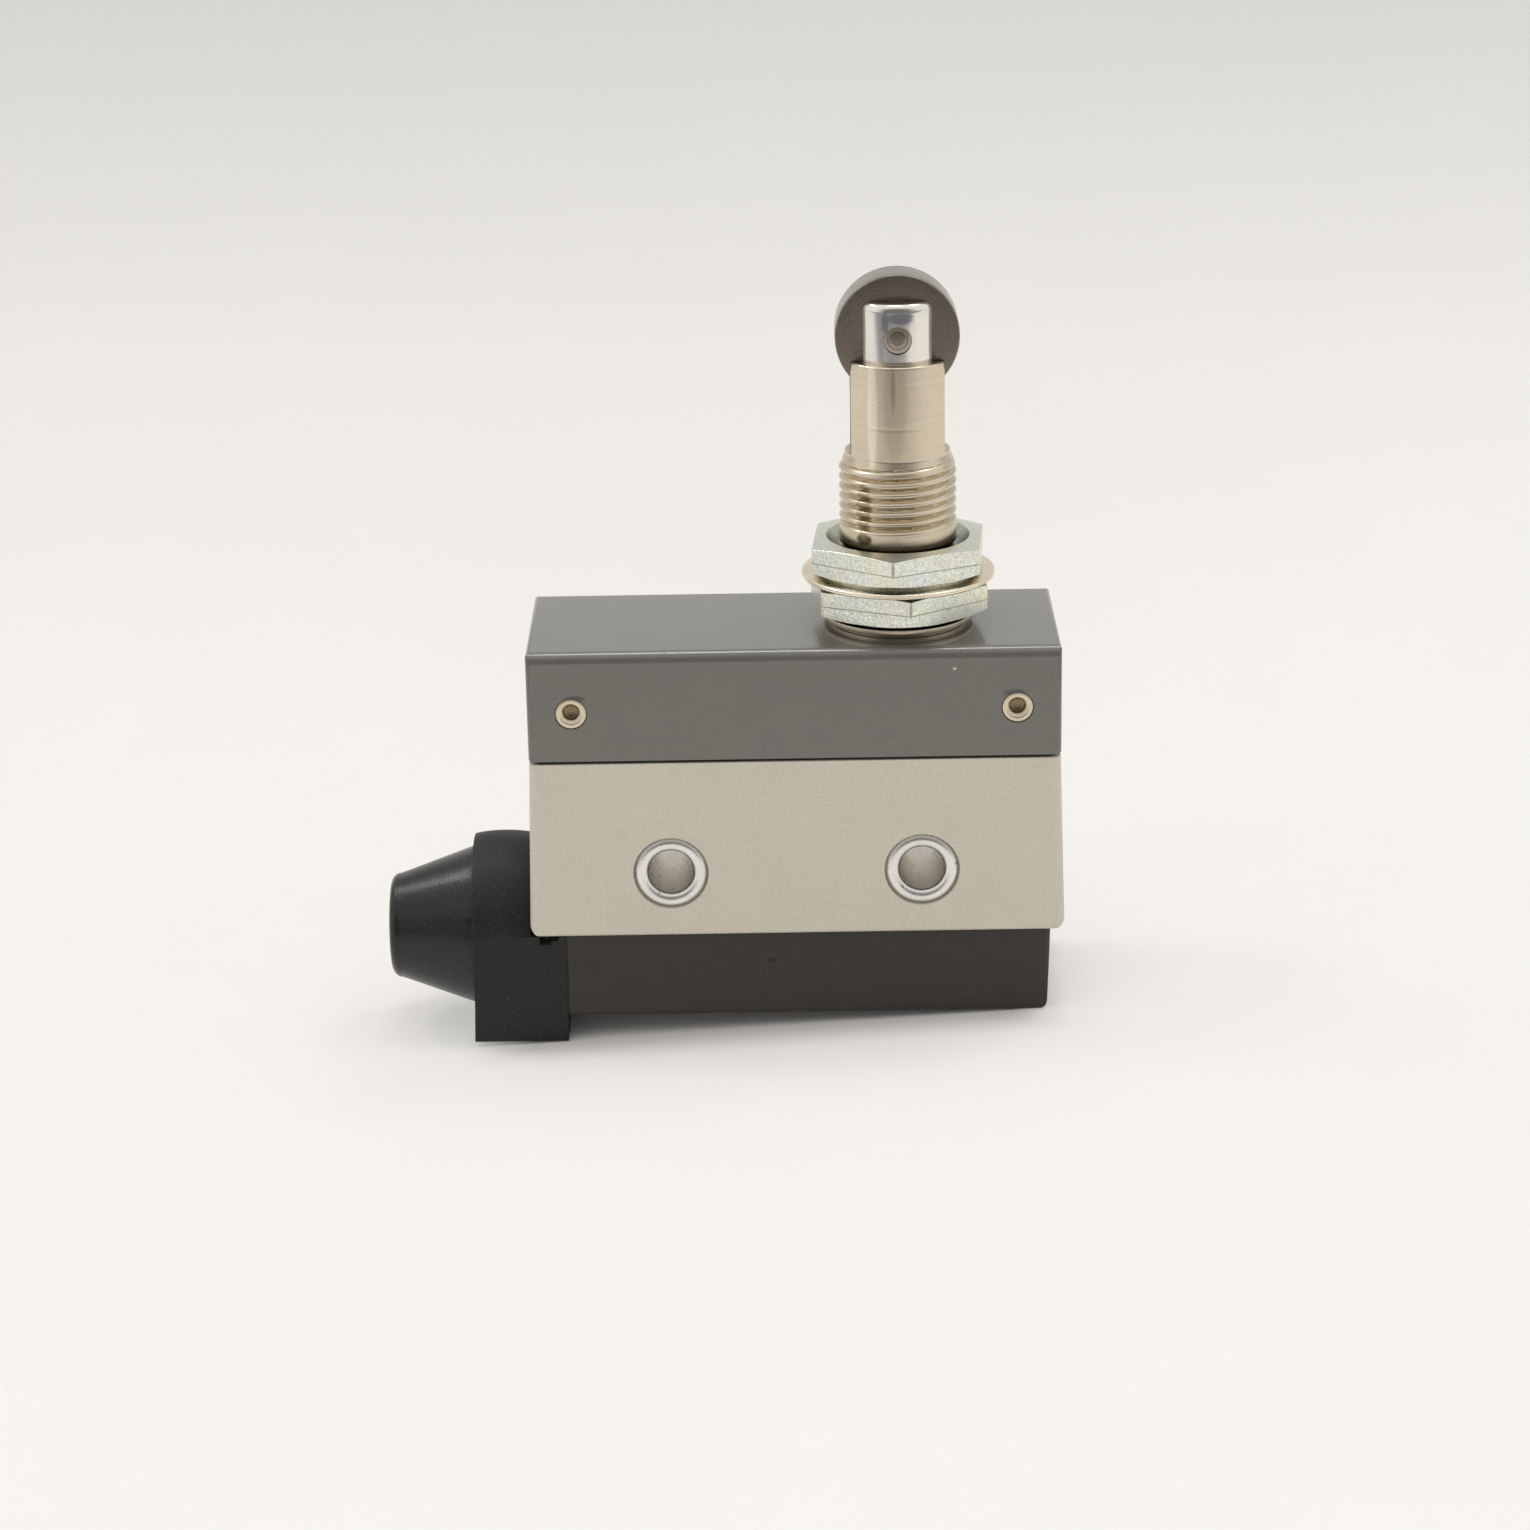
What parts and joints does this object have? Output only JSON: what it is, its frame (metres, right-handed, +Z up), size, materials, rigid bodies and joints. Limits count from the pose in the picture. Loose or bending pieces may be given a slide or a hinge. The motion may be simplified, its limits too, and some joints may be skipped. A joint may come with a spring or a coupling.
{
  "type": "roller plunger limit switch",
  "caption": "Enclosed limit switch with a sprung roller plunger in a threaded panel-mount barrel, painted die-cast case with cross mounting holes, and a rubber cable boot.",
  "frame": {"origin": "midway between the two cross mounting holes, at mid-thickness of the case", "axes": "+Z up along the plunger, +Y to the back through the mounting holes, +X away from the cable boot"},
  "size_m": [0.0693, 0.021, 0.078],
  "materials": {
    "body_paint": "fine textured beige paint on die-cast metal",
    "head_paint": "semi-gloss dark grey paint on die-cast metal",
    "cover_plastic": "charcoal moulded plastic",
    "boot_rubber": "black moulded rubber",
    "seal_rubber": "black seal rubber",
    "barrel_nickel": "turned, warm satin nickel plate",
    "nut_zinc": "zinc plate with a faint yellow-green passivation",
    "washer_nickel": "bright nickel plate",
    "plunger_chrome": "polished chrome plate",
    "roller_steel": "hardened steel, dark brown-grey",
    "pin_steel": "riveted steel pin",
    "eyelet_metal": "rolled metal eyelet, satin",
    "rivet_nickel": "yellowish nickel plate",
    "spring_steel": "spring steel",
    "pusher_nylon": "natural nylon",
    "phenolic": "brown moulded phenolic",
    "blade_copper": "beryllium copper strip",
    "contact_silver": "silver contact",
    "terminal_brass": "brass strip",
    "screw_steel": "plated steel"
  },
  "bodies": {
    "root": {"body_housing": "body_paint", "head_cover": "head_paint", "head_gasket": "seal_rubber", "head_rivets": "rivet_nickel", "terminal_cover": "cover_plastic", "cover_gasket": "seal_rubber", "cable_boot": "boot_rubber", "mounting_eyelet_left": "eyelet_metal", "mounting_eyelet_right": "eyelet_metal", "plunger_bushing": "barrel_nickel", "lower_nut": "nut_zinc", "upper_nut": "nut_zinc", "panel_washer": "washer_nickel", "return_spring": "spring_steel", "switch_base": "phenolic", "switch_lid": "phenolic", "common_terminal": "terminal_brass", "nc_terminal": "terminal_brass", "no_terminal": "terminal_brass", "nc_contact": "contact_silver", "no_contact": "contact_silver", "terminal_screws": "screw_steel", "terminal_washers": "screw_steel"},
    "plunger": {"plunger": "plunger_chrome", "plunger_o_ring": "seal_rubber", "retaining_ring": "spring_steel", "roller_pin": "pin_steel", "overtravel_spring": "spring_steel"},
    "roller": {"roller": "roller_steel"},
    "pusher": {"pusher": "pusher_nylon", "switch_pin": "pusher_nylon"},
    "blade": {"contact_blade": "blade_copper", "moving_contact": "contact_silver"}
  },
  "joints": [
    {"name": "plunger_slide", "type": "slide", "parent": "root", "child": "plunger", "axis": [0, 0, -1], "range_m": [0, 0.0045], "stiffness_N_per_m": 1500, "springref_m": -0.0027, "deforming": ["return_spring", "overtravel_spring"]},
    {"name": "roller_spin", "type": "hinge", "parent": "plunger", "child": "roller", "pos_m": [0.01075, 0, 0.05315], "axis": [0, 1, 0], "continuous": true},
    {"name": "pusher_slide", "type": "slide", "parent": "root", "child": "pusher", "axis": [0, 0, -1], "range_m": [0, 0.0012]},
    {"name": "blade_rock", "type": "hinge", "parent": "root", "child": "blade", "pos_m": [-0.0167, 0, 0.00797], "axis": [0, 1, 0], "range_deg": [0, 2.51]}
  ],
  "couplings": [
    {"joint": "pusher_slide", "follows": "plunger_slide", "ratio": 0.2666},
    {"joint": "blade_rock", "follows": "plunger_slide", "rad_per_m": 9.7177}
  ]
}
